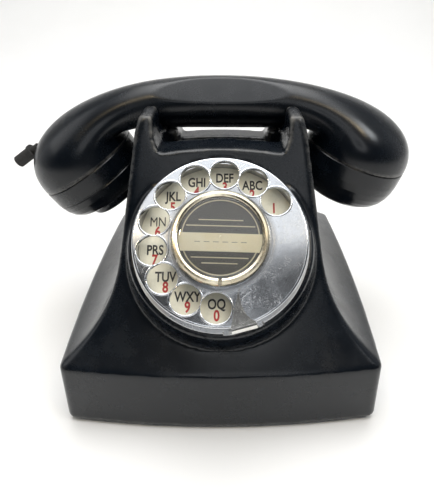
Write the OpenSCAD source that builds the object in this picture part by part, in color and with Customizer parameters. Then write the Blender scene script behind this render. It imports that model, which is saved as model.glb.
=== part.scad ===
/* [Body] */
// Width of the plinth at its foot
body_w = 154; // [150:0.5:158]
// Depth of the plinth at its foot
body_d = 163; // [160:0.5:167]
// Height of the crease where the plinth meets the swept case
plinth_top = 35.7; // [33:0.1:37]
// Wall of the moulded case
wall = 3.2; // [2.6:0.1:3.6]
// Height of the rubber feet below the case
foot_h = 2; // [1.5:0.1:2.5]

/* [Cradle] */
// Top of the front ledge between the prongs
ledge_z = 120.2; // [119:0.1:121]
// Top of the four prongs
prong_z = 133.3; // [131:0.1:135]
// How far the plungers rise when the handset is lifted
plunger_rise = 5; // [3:0.1:6]

/* [Dial] */
// Diameter of the finger wheel
wheel_d = 76.2; // [75.6:0.1:76.8]
// Diameter of one finger hole
hole_d = 12.9; // [12:0.1:13.4]
// Radius of the circle the finger holes lie on
hole_ring_r = 29.6; // [29:0.1:30]
// Lean of the dial face from upright
dial_tilt = 47.5; // [46:0.1:49]

/* [Handset] */
// Radius of the two bulbs at their seams
bulb_r = 28.5; // [27.8:0.1:28.8]
// Height of the handle half-section
handle_r = 12.8; // [12.2:0.1:12.8]

/* [Hidden] */

bakelite = [0.05, 0.05, 0.055];
steel = [0.62, 0.63, 0.65];
brass = [0.72, 0.6, 0.32];
gap = 0.3;

// ---- outline of the case at any height ----
case_h = ledge_z - plinth_top;
ledge_x = 41.2;
front_corner_y = 5 - body_d / 2 + 1.5;
rear_corner_y = body_d / 2 - 4.5;
ledge_y = -18.9;
rear_top_y = 46;

function rise(z) = (z - plinth_top) / case_h;
function sweep_out(t) = pow(max(0, 1 - 2 * t), 2.7);
function front_x(t) = ledge_x + 13.5 * (1 - t) + (body_w / 2 - 1.7 - ledge_x - 13.5) * sweep_out(t);
function rear_x(t) = front_x(t) - 3.4 * t;
function front_y(t) = front_corner_y
    + (ledge_y - front_corner_y) * (0.78 * t + 0.22 * (1 - pow(max(0, 1 - t), 4)));
function rear_y(t) = rear_top_y + 11 * (1 - t) + (rear_corner_y - rear_top_y - 11) * sweep_out(t);

// [front half width, rear half width, front y, rear y, front bow, rear bow, side bow, corner]
function case_size(z) = z <= plinth_top
    ? let (k = (plinth_top - z) / (plinth_top - foot_h))
        [front_x(0) + 1.7 * k, front_x(0) + 1.7 * k, front_y(0) - 1.5 * k, rear_y(0) + 1.5 * k,
         5, 3, 2.3, 5]
    : let (t = rise(z), s = max(0, 1 - t))
        [front_x(t), rear_x(t), front_y(t), rear_y(t), 5 * s * s, 3 * s * s,
         2.3 * pow(s, 6) - 3.6 * sin(180 * min(1, t)), 3.2 + 1.8 * pow(s, 10)];

function bow_pt(a, b, bow, cut, s) = let (l = norm(b - a), d = (b - a) / l, n = [d[1], -d[0]])
    a + d * (cut + s * (l - 2 * cut)) + n * bow * 4 * s * (1 - s);
function turn_pt(p, c, q, u) = (1 - u) * (1 - u) * p + 2 * u * (1 - u) * c + u * u * q;

function ring_pts(z, inset, side_steps = 6, corner_steps = 3) = let (
    m = case_size(z),
    r = max(1.2, m[7] - inset * 0.5),
    k = [[-m[0] + inset, m[2] + inset], [m[0] - inset, m[2] + inset],
         [m[1] - inset, m[3] - inset], [-m[1] + inset, m[3] - inset]],
    bow = [m[4], m[6], m[5], m[6]])
    [for (i = [0:3]) let (a = k[i], b = k[(i + 1) % 4], c = k[(i + 2) % 4],
            q = bow_pt(b, c, bow[(i + 1) % 4], r, 0), p = bow_pt(a, b, bow[i], r, 1))
        for (j = [0:side_steps + corner_steps - 1])
            let (xy = j < side_steps
                ? bow_pt(a, b, bow[i], r, j / side_steps)
                : turn_pt(p, b, q, (j - side_steps) / corner_steps))
            [xy[0], xy[1], z]];

// solid through a stack of rings that all have the same number of points
module stack(rings) {
    n = len(rings[0]);
    m = len(rings);
    side = [for (i = [0:m - 2], j = [0:n - 1]) [i * n + j, i * n + (j + 1) % n, (i + 1) * n + j]];
    side2 = [for (i = [0:m - 2], j = [0:n - 1])
        [i * n + (j + 1) % n, (i + 1) * n + (j + 1) % n, (i + 1) * n + j]];
    floor_face = [[for (j = [0:n - 1]) j]];
    roof_face = [[for (j = [n - 1:-1:0]) (m - 1) * n + j]];
    polyhedron([for (r = rings) each r],
        [for (f = concat(side, side2)) [f[2], f[1], f[0]], each floor_face, each roof_face], 4);
}

sweep_n = 13;
sweep_zs = [for (i = [0:sweep_n]) plinth_top + case_h * pow(i / sweep_n, 1.35)];
outer_rings = [
    ring_pts(foot_h, 1), ring_pts(foot_h + 0.4, 0.3), ring_pts(foot_h + 1.2, 0),
    ring_pts(plinth_top - 1.2, 0), ring_pts(plinth_top - 0.4, 0.15),
    for (i = [0:sweep_n]) ring_pts(sweep_zs[i], i == 0 ? 0.6 : 0),
    ring_pts(ledge_z + 7, 0), ring_pts(prong_z + 1, 0)];
inner_top_z = 96.8;
inner_rings = [
    ring_pts(foot_h - 1, wall, 4, 2), ring_pts(plinth_top - 2.5, wall, 4, 2),
    for (i = [0:7])
        ring_pts(plinth_top + (inner_top_z - plinth_top) * pow(i / 7, 1.3), wall + 0.4, 4, 2)];

// ---- dial frame: local z is the face normal, z = 0 the wheel's top ----
dial_y = -53.9;
dial_z = 93.3;
module at_dial() {
    translate([0, dial_y, dial_z]) rotate([90 - dial_tilt, 0, 0]) children();
}

// ---- handset frame ----
handle_y = 19.7;
handle_z = 131.5;
handset_roll = 3.2;
module at_handset() {
    translate([0, handle_y, handle_z]) rotate([handset_roll, 0, 0]) children();
}

// [seam centre x, seam centre z, lean, side, pull 1, pull 2, inner pull 1, inner pull 2]
receiver = [74, -26.9, 17.5, 1, 28, 31, 7, 12];
transmitter = [75.8, -33.5, 31.5, -1, 35, 37, 9, 12];
neck_x = 34;
arch = 0.0021;
seat_z = -handle_r;

function bez(p0, p1, p2, p3, t) = let (s = 1 - t)
    s * s * s * p0 + 3 * s * s * t * p1 + 3 * s * t * t * p2 + t * t * t * p3;
handle_n = 36;
// the long flats along the two top edges of the handle
flat_up = [for (s = [-1, 1]) [0, s * cos(47.5), sin(47.5)]];
function flat1(p, n) = abs(p[0]) > 45 ? p
    : p - n * max(0, p * n - (handle_r - 2.06 + 0.0005 * p[0] * p[0]));
function flat(p) = flat1(flat1(p, flat_up[0]), flat_up[1]);
function bulb_ring(b, t) = let (
    o = [cos(b[2]), -sin(b[2])],
    n = [sin(b[2]), cos(b[2])],
    s = [b[0], b[1]],
    o1 = [neck_x, handle_r - arch * neck_x * neck_x],
    i1 = [neck_x, seat_z],
    op = bez(s + bulb_r * o, s + bulb_r * o + n * b[4], o1 + [1, -2 * arch * neck_x] * b[5], o1, t),
    ip = bez(s - bulb_r * o, s - bulb_r * o + n * b[6], i1 + [1, 0] * b[7], i1, t),
    w = handle_r + (bulb_r - handle_r) * (0.5 + 0.5 * cos(180 * t)),
    c = (op + ip) / 2,
    d = (op - ip) / 2)
    [for (j = [0:handle_n - 1]) let (a = j * 360 / handle_n)
        flat([b[3] * (c[0] + d[0] * cos(a)), w * sin(a), c[1] + d[1] * cos(a)])];
function neck_ring(x) = let (
    top = handle_r - arch * x * x,
    c = (top + seat_z) / 2,
    d = (top - seat_z) / 2)
    [for (j = [0:handle_n - 1]) let (a = j * 360 / handle_n)
        flat([x, handle_r * sin(a), c + d * cos(a)])];
handle_rings = [
    for (i = [0:16]) bulb_ring(transmitter, i / 16),
    for (x = [-24:12:24]) neck_ring(x),
    for (i = [16:-1:0]) bulb_ring(receiver, i / 16)];

// places children on a seam: local +z points out of the mouth
module at_seam(b) {
    at_handset() translate([b[3] * b[0], 0, b[1]]) rotate([0, b[3] * (180 + b[2]), 0])
        rotate([0, 0, b[3] > 0 ? 0 : 180]) children();
}

// ---- helpers ----
module ring_bar(ro, ri, h, seg = 96) {
    difference() {
        cylinder(r = ro, h = h, $fn = seg);
        translate([0, 0, -1]) cylinder(r = ri, h = h + 2, $fn = seg);
    }
}
module cheese_screw(head_r, head_h, shank_r, shank_l) {
    difference() {
        union() {
            cylinder(r = head_r, h = head_h, $fn = 32);
            translate([0, 0, -shank_l]) cylinder(r = shank_r, h = shank_l + 0.01, $fn = 24);
        }
        translate([-head_r - 1, -0.4, head_h * 0.45]) cube([2 * head_r + 2, 0.8, head_h]);
    }
}
module toothed(teeth, r_root, r_tip, root_share, tip_share, h) {
    p = 360 / teeth;
    linear_extrude(h) polygon([for (i = [0:teeth - 1]) for (c = [
            [r_root, -root_share / 2], [r_tip, -tip_share / 2],
            [r_tip, tip_share / 2], [r_root, root_share / 2]])
        [c[0] * cos(p * (i + c[1])), c[0] * sin(p * (i + c[1]))]]);
}

// ---- body ----
module prong_profile(top_z, low_z, crown, low_half, high_half, outer) {
    translate([-100, 0]) square([200, low_z - crown - 2]);
    polygon(concat([[34, low_z - crown - 6], [-34, low_z - crown - 6]],
        [for (i = [-17:17]) let (x = i * 2 + 0.37) [x, low_z - 0.06 - crown * pow(x / 28, 2)]]));
    for (s = [-1, 1]) {
        polygon([[s * high_half, top_z - 1.4], [s * (high_half + 1.4), top_z],
            [s * (outer - 3.2), top_z], [s * outer, top_z - 3.2], [s * 58, 60],
            [s * low_half, 60], [s * low_half, low_z - crown - 1], [s * high_half, low_z + 3.8]]);
        translate([s * (high_half + 1.4), top_z - 1.4]) circle(r = 1.4, $fn = 32);
        translate([s * (outer - 3.2), top_z - 3.2]) circle(r = 3.2, $fn = 32);
    }
}
module front_keep() {
    translate([0, handle_y, 0]) rotate([90, 0, 0]) linear_extrude(130)
        prong_profile(prong_z, ledge_z, 2, 29, 31.2, 38.9);
}
module rear_keep() {
    translate([0, handle_y + 90, 0]) rotate([90, 0, 0]) linear_extrude(90.01)
        prong_profile(prong_z, 108.6, 1.5, 24, 25, 35.2);
}
screw_x = body_w / 2 - 14;
screw_y = body_d / 2 - 16;

module body_shell() {
    color(bakelite) difference() {
        union() {
            difference() {
                union() {
                    intersection() {
                        stack(outer_rings);
                        union() {
                            front_keep();
                            rear_keep();
                        }
                    }
                    // flared boss round the dial
                    intersection() {
                        at_dial() translate([0, 0, -49]) cylinder(r1 = 52, r2 = 41.6, h = 40, $fn = 96);
                        translate([-44, -body_d / 2 - 5, 38]) cube([88, 90, 76]);
                    }
                }
                stack(inner_rings);
            }
            // screw posts in the four corners
            for (x = [-1, 1], y = [-1, 1])
                translate([x * screw_x, y * screw_y, foot_h + 3]) cylinder(r = 5, h = 30, $fn = 32);
            for (x = [screw_x, -screw_x - 13.5], y = [-1, 1])
                translate([x, y * screw_y - 1.5, foot_h + 3]) cube([13.5, 3, 28]);
        }
        // channel the handle lies in
        translate([-80, handle_y, handle_z]) rotate([0, 90, 0])
            cylinder(r = handle_r + gap, h = 160, $fn = 96);
        for (s = [-1, 1]) translate([s * 32, handle_y, handle_z]) rotate([0, s * 90, 0])
            cylinder(r1 = handle_r + gap - 0.1, r2 = handle_r + gap + 2.4, h = 16, $fn = 96);
        translate([-80, handle_y - handle_r - gap, handle_z])
            cube([160, 2 * (handle_r + gap), 30]);
        // hand hollow between the ledge and the rear bar
        translate([-24, -3, 100]) cube([48, 36.5, 40]);
        translate([-29.5, -3, 100]) cube([59, 15.5, 40]);
        // seat and bore of the dial
        at_dial() translate([0, 0, -9]) cylinder(r = 40, h = 40, $fn = 96);
        at_dial() translate([0, 0, -47]) cylinder(r = 37.4, h = 40, $fn = 96);
        // seats of the plunger guides
        for (s = [-1, 1]) translate([s * 26.5, handle_y, 90]) cylinder(r = 4, h = 40, $fn = 32);
        // pilot holes for the base screws
        for (x = [-1, 1], y = [-1, 1]) translate([x * screw_x, y * screw_y, foot_h + 2])
            cylinder(r = 1.3, h = 20, $fn = 24);
        // pilot holes of the switch bracket
        for (s = [-1, 1]) translate([s * 20, 42, 90]) rotate([-90, 0, 0])
            cylinder(r = 1.2, h = 6.2, $fn = 24);
        // cord holes in the rear wall
        for (x = [-38, 38]) translate([x, body_d / 2 - 12, 14]) rotate([-90, 0, 0])
            cylinder(r = 5.1, h = 30, $fn = 48);
    }
}

plate_z = foot_h + 0.8;
module base_plate() {
    color([0.28, 0.27, 0.25]) difference() {
        translate([0, 0, plate_z]) linear_extrude(1.6) polygon([for (p = ring_pts(foot_h, wall + 1.6))
            [p[0], p[1]]]);
        for (x = [-1, 1], y = [-1, 1]) translate([x * screw_x, y * screw_y, 0])
            cylinder(r = 1.9, h = 20, $fn = 32);
        for (i = [-2:2]) translate([i * 14 - 2, 18, 0]) cube([4, 40, 20]);
    }
}
module rubber_feet() {
    color([0.12, 0.12, 0.12]) for (x = [-1, 1], y = [-1, 1])
        translate([x * screw_x, y * screw_y, 0]) difference() {
            cylinder(r = 8, h = plate_z, $fn = 48);
            translate([0, 0, -1]) cylinder(r = 3.6, h = 20, $fn = 32);
        }
}
module foot_screws() {
    color(steel) for (x = [-1, 1], y = [-1, 1])
        translate([x * screw_x, y * screw_y, plate_z]) rotate([180, 0, 0])
            cheese_screw(3.2, 1.8, 1.3, 14);
}
module cord_bush(x) {
    y = body_d / 2 - 1;
    color([0.1, 0.1, 0.1]) translate([x, 0, 14]) rotate([-90, 0, 0]) difference() {
        union() {
            translate([0, 0, y - 7]) cylinder(r = 5, h = 8.4, $fn = 48);
            translate([0, 0, y + 1.4]) cylinder(r = 6.6, h = 1.6, $fn = 48);
            translate([0, 0, y - 8.4]) cylinder(r = 6.4, h = 1.8, $fn = 48);
        }
        translate([0, 0, y - 20]) cylinder(r = 2.9, h = 40, $fn = 48);
    }
}
module handset_cord_inlet() { cord_bush(-38); }
module line_cord_inlet() { cord_bush(38); }

// ---- cradle switch ----
seat_top = handle_z - handle_r;
lever_z = 84;
module plunger(x) {
    color([0.16, 0.14, 0.12]) translate([x, handle_y, 0]) {
        translate([0, 0, lever_z + 1.6]) cylinder(r = 2.5, h = seat_top - gap - 1.2 - lever_z - 1.6, $fn = 32);
        translate([0, 0, seat_top - gap - 1.2]) rotate_extrude($fn = 32) polygon([[0, -0.01],
            [2.5, -0.01], [2.5, 0.2], [1.9, 0.9], [0.9, 1.2], [0, 1.2]]);
        translate([0, 0, lever_z + 1.6]) cylinder(r = 4, h = 1.6, $fn = 32);
    }
}
module plunger_guides() {
    color(brass) for (s = [-1, 1]) translate([s * 26.5, handle_y, 0]) difference() {
        union() {
            translate([0, 0, inner_top_z - 1.3]) cylinder(r = 5.2, h = 1.2, $fn = 48);
            translate([0, 0, inner_top_z - 1.2]) cylinder(r = 3.9, h = seat_top - 3 - inner_top_z, $fn = 48);
        }
        translate([0, 0, 60]) cylinder(r = 2.55, h = 80, $fn = 48);
    }
}
module plunger_left() { plunger(-26.5); }
module plunger_right() { plunger(26.5); }
module plunger_springs() {
    color(steel) for (s = [-1, 1]) translate([s * 26.5, handle_y, lever_z - 2.2])
        rotate_extrude($fn = 48) for (i = [0:5]) translate([3.1, -1.05 * i]) circle(r = 0.6, $fn = 16);
}
module switch_bracket() {
    color(steel) difference() {
        union() {
            translate([-34, 42.6, 93.2]) cube([68, 3, 3]);
            translate([-34, 41.6, 70]) cube([68, 2, 26.2]);
            for (s = [-1, 1]) translate([s * 31 - 0.8, 36, 78]) cube([1.6, 6, 10]);
            translate([-12, 12, 70]) cube([24, 30, 1.6]);
            for (s = [-1, 1]) translate([s * 26.5 - 5, 13, 70]) cube([10, 30, 1.6]);
        }
        translate([-40, 39, lever_z]) rotate([0, 90, 0]) cylinder(r = 1.3, h = 80, $fn = 32);
        for (s = [-1, 1]) translate([s * 20, 30, 90]) rotate([-90, 0, 0]) cylinder(r = 1.2, h = 40, $fn = 24);
    }
}
module switch_lever() {
    color(brass) difference() {
        union() {
            for (s = [-1, 1]) translate([s * 26.5 - 3, 15.5, lever_z]) cube([6, 22.5, 1.3]);
            translate([-29.5, 32, lever_z]) cube([59, 4, 1.3]);
            translate([-4, 14, lever_z]) cube([8, 20, 1.3]);
            translate([-29.8, 39, lever_z]) rotate([0, 90, 0]) cylinder(r = 2.2, h = 59.6, $fn = 32);
        }
        translate([-40, 39, lever_z]) rotate([0, 90, 0]) cylinder(r = 1.25, h = 80, $fn = 32);
    }
}
module lever_pin() {
    color(steel) translate([-33, 39, lever_z]) rotate([0, 90, 0]) cylinder(r = 1.2, h = 66, $fn = 32);
}
module switch_springset() {
    color(brass) {
        for (i = [0:3]) translate([-3 + i * 0, 14, 73.4 + i * 2.2]) cube([6, 25, 0.5]);
        translate([-3.6, 30, 71.6]) cube([7.2, 9, 10.2]);
        for (i = [0:1]) translate([0, 16, 73.8 + i * 4.4]) cylinder(r = 0.9, h = 1.9, $fn = 24);
    }
}
module bracket_screws() {
    color(steel) for (s = [-1, 1]) translate([s * 20, 41.6, 90]) rotate([90, 0, 0])
        cheese_screw(2.2, 1.4, 1.15, 6);
}

// ---- dial ----
wheel_r = wheel_d / 2;
wheel_t = 1.6;
plate_top = -7.35;
frame_top = -24.5;
holes_at = [for (i = [0:9]) 35.4 + i * 25.7];
gear_teeth = 40;
pinion_teeth = 10;
shaft_y = -20.8;
gov_y = shaft_y + 11.6;
gov_z = -40.5;

module dial_case() {
    color(steel) at_dial() rotate_extrude($fn = 128) polygon([[36.3, -26.2], [37.2, -26.2],
        [37.2, -8.95], [39, -8.95], [39.4, -8.75], [39.5, -8.45], [39.3, -8.2], [37.5, -8.2],
        [37.3, -4.3], [37.0, -3.7], [36.6, -3.7], [36.3, -4.3]]);
}
module dial_frame() {
    color(brass) at_dial() difference() {
        union() {
            translate([0, 0, frame_top - 1.6]) cylinder(r = 36.2, h = 1.6, $fn = 96);
            translate([0, 0, -29]) cylinder(r = 6, h = 17, $fn = 48);
            for (a = [90, 210, 330]) rotate([0, 0, a]) translate([31, 0, frame_top - 0.1])
                cylinder(r = 2.6, h = -8.2 - frame_top + 0.1, $fn = 32);
            for (s = [-1, 1]) translate([s * 25 - 1.5, gov_y - 3, gov_z - 3])
                cube([3, 6, frame_top - 1.6 - gov_z + 3.1]);
            for (s = [-1, 1]) translate([s * 11.6 - 1.2, shaft_y - 5.6, gov_z - 5.5])
                cube([2.4, 3, frame_top - 1.6 - gov_z + 5.6]);
            translate([-12.8, shaft_y - 5.6, gov_z - 5.5]) cube([25.6, 8.6, 1.6]);
        }
        translate([0, 0, -60]) cylinder(r = 3.06, h = 60, $fn = 48);
        translate([0, shaft_y, -60]) cylinder(r = 1.26, h = 60, $fn = 32);
        for (a = [90, 210, 330]) rotate([0, 0, a]) translate([31, 0, -30])
            cylinder(r = 1.3, h = 16, $fn = 24);
        translate([-30, gov_y, gov_z]) rotate([0, 90, 0]) cylinder(r = 1.06, h = 60, $fn = 32);
    }
}
module dial_case_screws() {
    color(steel) at_dial() for (a = [90, 210, 330]) rotate([0, 0, a])
        translate([31, 0, frame_top - 1.6]) rotate([180, 0, 0]) cheese_screw(2.3, 1.3, 1.25, 9);
}
module number_plate() {
    color([0.9, 0.87, 0.78]) at_dial() difference() {
        translate([0, 0, -8.15]) cylinder(r = 36.2, h = 0.8, $fn = 128);
        translate([0, 0, -20]) cylinder(r = 9, h = 40, $fn = 64);
    }
}
module finger_stop() {
    color(steel) at_dial() {
        rotate([0, 0, 284.6]) {
            // blade over the wheel
            translate([0, 0, 1]) linear_extrude(1.1) polygon([[23, 2.9], [24.4, 1.5], [30, 1.3],
                [34, 2.2], [36.2, 3.6], [37.6, 5.2], [38.2, 5.2], [38.2, -5.2], [37.4, -5.2], [36, -4.5],
                [30, -1.6], [25.2, 0.9], [23.3, 1.9]]);
            // rounded fold down past the rim of the wheel
            translate([0, 5.3, 0]) rotate([90, 0, 0]) linear_extrude(10.6) polygon(concat(
                [for (a = [90:-10:0]) [37.8 + 2.7 * cos(a), -0.6 + 2.7 * sin(a)]],
                [[40.5, -8.1], [39.4, -8.1]],
                [for (a = [0:10:90]) [37.8 + 1.6 * cos(a), -0.6 + 1.6 * sin(a)]]));
            // foot screwed to the rim of the case
            difference() {
                intersection() {
                    translate([0, 0, -8.1]) ring_bar(40.3, 38.6, 0.9, 128);
                    translate([30, -9, -12]) cube([20, 18, 16]);
                }
            }
        }
    }
}
module finger_stop_screws() {
    color(steel) at_dial() for (a = [-1, 1]) rotate([0, 0, 284.6 + a * 10.8])
        translate([39.3, 0, -7.15]) cheese_screw(1.05, 0.7, 0.4, 0.02);
}
module finger_wheel() {
    color(steel) at_dial() difference() {
        union() {
            translate([0, 0, -wheel_t]) cylinder(r = wheel_r - 1.2, h = wheel_t, $fn = 160);
            rotate_extrude($fn = 160) translate([wheel_r - 1, -1]) circle(r = 1, $fn = 24);
            for (a = holes_at) rotate([0, 0, a]) translate([hole_ring_r, 0, -0.15])
                rotate_extrude($fn = 64) translate([hole_d / 2 + 0.45, 0]) circle(r = 0.55, $fn = 20);
            cylinder(r = 21.4, h = 2.2, $fn = 96);
            translate([0, 0, -6.5]) cylinder(r = 6, h = 6, $fn = 48);
        }
        for (a = holes_at) rotate([0, 0, a]) translate([hole_ring_r, 0, -10])
            cylinder(r = hole_d / 2, h = 20, $fn = 64);
        // groove round the label ring
        difference() {
            translate([0, 0, -0.7]) cylinder(r = 22.4, h = 10, $fn = 96);
            translate([0, 0, -1]) cylinder(r = 20.9, h = 20, $fn = 96);
        }
    }
}
module label_ring() {
    color(brass) at_dial() difference() {
        rotate_extrude($fn = 128) polygon([[18.3, 2.25], [20.9, 2.25], [21, 2.9], [20.6, 4.1],
            [19.9, 4.7], [18.9, 4.8], [18.1, 4.5], [17.8, 4.1], [18.3, 3.8]]);
        rotate([0, 0, 270]) translate([16, -0.8, 2.9]) cube([8, 1.6, 4]);
    }
}
module label_disc() {
    color([0.2, 0.2, 0.21]) at_dial() translate([0, 0, 2.25]) cylinder(r = 18.2, h = 0.5, $fn = 96);
}
module label_strip() {
    color([0.88, 0.83, 0.66]) at_dial() intersection() {
        translate([0, 0, 2.78]) cylinder(r = 17.7, h = 0.25, $fn = 96);
        rotate([0, 0, -1.7]) translate([-20, -6.4, 2]) cube([40, 8, 3]);
    }
}
module label_cover() {
    color([0.9, 0.93, 0.9, 0.3]) at_dial() rotate_extrude($fn = 96) polygon([[0, 3.15],
        [18.2, 3.15], [18.2, 3.6], [17.7, 3.75], [10, 4.05], [0, 4.15]]);
}
module dial_spindle() {
    color(steel) at_dial() {
        translate([0, 0, -34.5]) cylinder(r = 3, h = 34.5 - 6.55, $fn = 48);
        translate([0, 0, -34.5]) cylinder(r = 4.4, h = 1.4, $fn = 48);
    }
}
module main_gear() {
    color(brass) at_dial() difference() {
        translate([0, 0, -33]) rotate([0, 0, -90]) toothed(gear_teeth, 15.7, 17.3, 0.44, 0.16, 2);
        translate([0, 0, -40]) cylinder(r = 3.02, h = 20, $fn = 48);
        for (a = [0:60:300]) rotate([0, 0, a]) translate([9.6, 0, -40]) cylinder(r = 2.6, h = 20, $fn = 32);
    }
}
module main_spring() {
    color([0.35, 0.38, 0.45]) at_dial() translate([0, 0, -23.4])
        rotate_extrude($fn = 64) for (i = [0:6]) translate([8.2, 1.5 * i]) circle(r = 0.85, $fn = 16);
}
module worm_wheel() {
    color(brass) at_dial() translate([0, shaft_y, 0]) {
        translate([0, 0, -45.6]) cylinder(r = 1.2, h = 21, $fn = 32);
        translate([0, 0, -33]) rotate([0, 0, 90 + 18]) toothed(pinion_teeth, 3.1, 4.8, 0.44, 0.16, 2);
        translate([0, 0, -41.25]) toothed(24, 8.4, 9.2, 0.45, 0.25, 1.5);
    }
}
module pulse_cam() {
    color([0.45, 0.16, 0.1]) at_dial() translate([0, shaft_y, -30.2]) difference() {
        union() {
            cylinder(r = 4.2, h = 1.6, $fn = 48);
            for (a = [0, 180]) rotate([0, 0, a]) translate([3.4, 0, 0]) cylinder(r = 2, h = 1.6, $fn = 32);
        }
        translate([0, 0, -1]) cylinder(r = 1.22, h = 5, $fn = 32);
    }
}
module governor_shaft() {
    color(steel) at_dial() translate([0, gov_y, gov_z]) rotate([0, 90, 0]) {
        translate([0, 0, -27]) cylinder(r = 1, h = 54, $fn = 32);
        for (i = [-4:4]) translate([0, 0, i * 1.6 - 0.35]) cylinder(r = 2.1, h = 0.7, $fn = 32);
    }
}
module governor_weights() {
    color(brass) at_dial() translate([16.5, gov_y, gov_z]) rotate([0, 90, 0]) difference() {
        union() {
            cylinder(r = 2.2, h = 4.4, $fn = 32);
            for (a = [0, 180]) rotate([0, 0, a]) translate([3.1, 0, 0.6]) cylinder(r = 2, h = 3, $fn = 32);
        }
        translate([0, 0, -1]) cylinder(r = 1.02, h = 8, $fn = 32);
    }
}
module governor_cup() {
    color(steel) at_dial() translate([14.6, gov_y, gov_z]) rotate([0, 90, 0]) difference() {
        cylinder(r = 6.8, h = 7.4, $fn = 64);
        translate([0, 0, 1]) cylinder(r = 6, h = 8, $fn = 64);
        translate([0, 0, -1]) cylinder(r = 2.6, h = 8, $fn = 32);
    }
}
module pulse_springset() {
    color(brass) at_dial() {
        for (i = [0:2]) translate([-13, shaft_y - 7.4 - i * 1.7, -30.4]) cube([19, 0.5, 2.4]);
        translate([-16, shaft_y - 12, -30.8]) cube([5, 6, 3.4]);
        translate([-15.5, shaft_y - 11, -27.5]) cube([4, 4, 1.38]);
        translate([3, shaft_y - 9.2, -29.2]) rotate([90, 0, 0]) translate([0, 0, -0.3]) cylinder(r = 0.8, h = 1.6, $fn = 24);
    }
}

// ---- bell set on the base plate ----
deck = plate_z + 1.6;
gong_x = 33;
gong_y = 40;
module gong(x) {
    color(brass) translate([x, gong_y, 15]) rotate_extrude($fn = 96) polygon([[2.3, 13.2], [6, 13.2],
        [14, 12.4], [20, 10.2], [24.3, 6.4], [26.3, 2.4], [27, 0], [25.6, 0], [24.9, 2.1],
        [23, 5.6], [19.1, 9], [13.7, 11.1], [6, 11.8], [2.3, 11.8]]);
}
module gong_left() { gong(-gong_x); }
module gong_right() { gong(gong_x); }
module gong_screws() {
    color(steel) for (s = [-1, 1]) translate([s * gong_x, gong_y, 0]) {
        translate([0, 0, deck]) cylinder(r = 3.6, h = 26.7 - deck, $fn = 32);
        translate([0, 0, 26.6]) cylinder(r = 2.2, h = 3, $fn = 32);
        translate([0, 0, 28.25]) cheese_screw(4.2, 2, 2, 0.02);
    }
}
module bell_yoke() {
    color([0.4, 0.4, 0.42]) difference() {
        union() {
            translate([-24, -12, deck]) cube([48, 26, 3]);
            for (s = [-1, 1]) translate([s * 12, -3, deck + 2.9]) cylinder(r = 3, h = 23.3, $fn = 32);
            translate([-3, 8, deck + 2.9]) cube([6, 5, 19]);
        }
        translate([0, 10.5, deck + 4]) cylinder(r = 1.3, h = 40, $fn = 24);
    }
}
module bell_coils() {
    color([0.45, 0.2, 0.12]) for (s = [-1, 1]) translate([s * 12, -3, deck + 3.1]) difference() {
        union() {
            cylinder(r = 8.4, h = 1.2, $fn = 48);
            cylinder(r = 7.4, h = 20, $fn = 48);
            translate([0, 0, 19.6]) cylinder(r = 8.4, h = 1.2, $fn = 48);
        }
        translate([0, 0, -1]) cylinder(r = 3.05, h = 30, $fn = 32);
    }
}
module bell_magnet() {
    color([0.3, 0.1, 0.1]) translate([-7, -34, deck]) cube([14, 21.5, 8]);
}
arm_z = deck + 22.4;
module striker_arm() {
    color(steel) difference() {
        union() {
            translate([-17, -6, arm_z + 4.6]) cube([34, 6, 2]);
            translate([-2, -4, arm_z + 4.6]) cube([4, 14, 2]);
            translate([0, 10.5, arm_z]) cylinder(r = 2.6, h = 6.6, $fn = 32);
            translate([-0.9, 11, arm_z + 0.2]) cube([1.8, 26, 1.8]);
            translate([0, 38.5, arm_z - 5]) cylinder(r = 2.6, h = 7, $fn = 32);
        }
        translate([0, 10.5, 0]) cylinder(r = 1.25, h = 60, $fn = 24);
    }
}
module striker_pin() {
    color(steel) translate([0, 10.5, deck + 5]) cylinder(r = 1.2, h = 28, $fn = 24);
}
module induction_coil() {
    color([0.5, 0.35, 0.15]) translate([-58, -44, 13.5]) rotate([0, 90, 0]) {
        cylinder(r = 7, h = 34, $fn = 48);
        for (z = [0, 32]) translate([-8, -8, z]) cube([17, 16, 2]);
    }
}
module capacitor() {
    color([0.66, 0.66, 0.62]) translate([24, -58, deck]) {
        cube([38, 16, 24]);
        for (x = [11, 27]) translate([x, 8, 23.9]) cylinder(r = 2, h = 3, $fn = 24);
    }
}
module capacitor_clamp() {
    color(steel) difference() {
        translate([35, -59.2, deck]) cube([12, 18.4, 25.2]);
        translate([30, -58.1, deck - 1]) cube([22, 16.2, 25.1]);
        translate([32, -56, deck + 20]) cube([3.01, 12, 12]);
        translate([35 - 0.5, -50 - 2.4, deck + 20]) cube([3, 4.8, 12]);
    }
}
module terminal_block() {
    color([0.1, 0.1, 0.1]) translate([-27, 60, deck]) difference() {
        cube([54, 10, 8]);
        for (i = [0:5]) translate([4.5 + i * 9, 5, 2]) cylinder(r = 1.3, h = 20, $fn = 24);
        for (i = [0:4]) translate([8.6 + i * 9, -1, 5.6]) cube([0.8, 12, 6]);
    }
}
module terminal_screws() {
    color(brass) for (i = [0:5]) translate([-22.5 + i * 9, 65, deck + 8.02])
        cheese_screw(2.5, 1.6, 1.25, 5);
}

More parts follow.
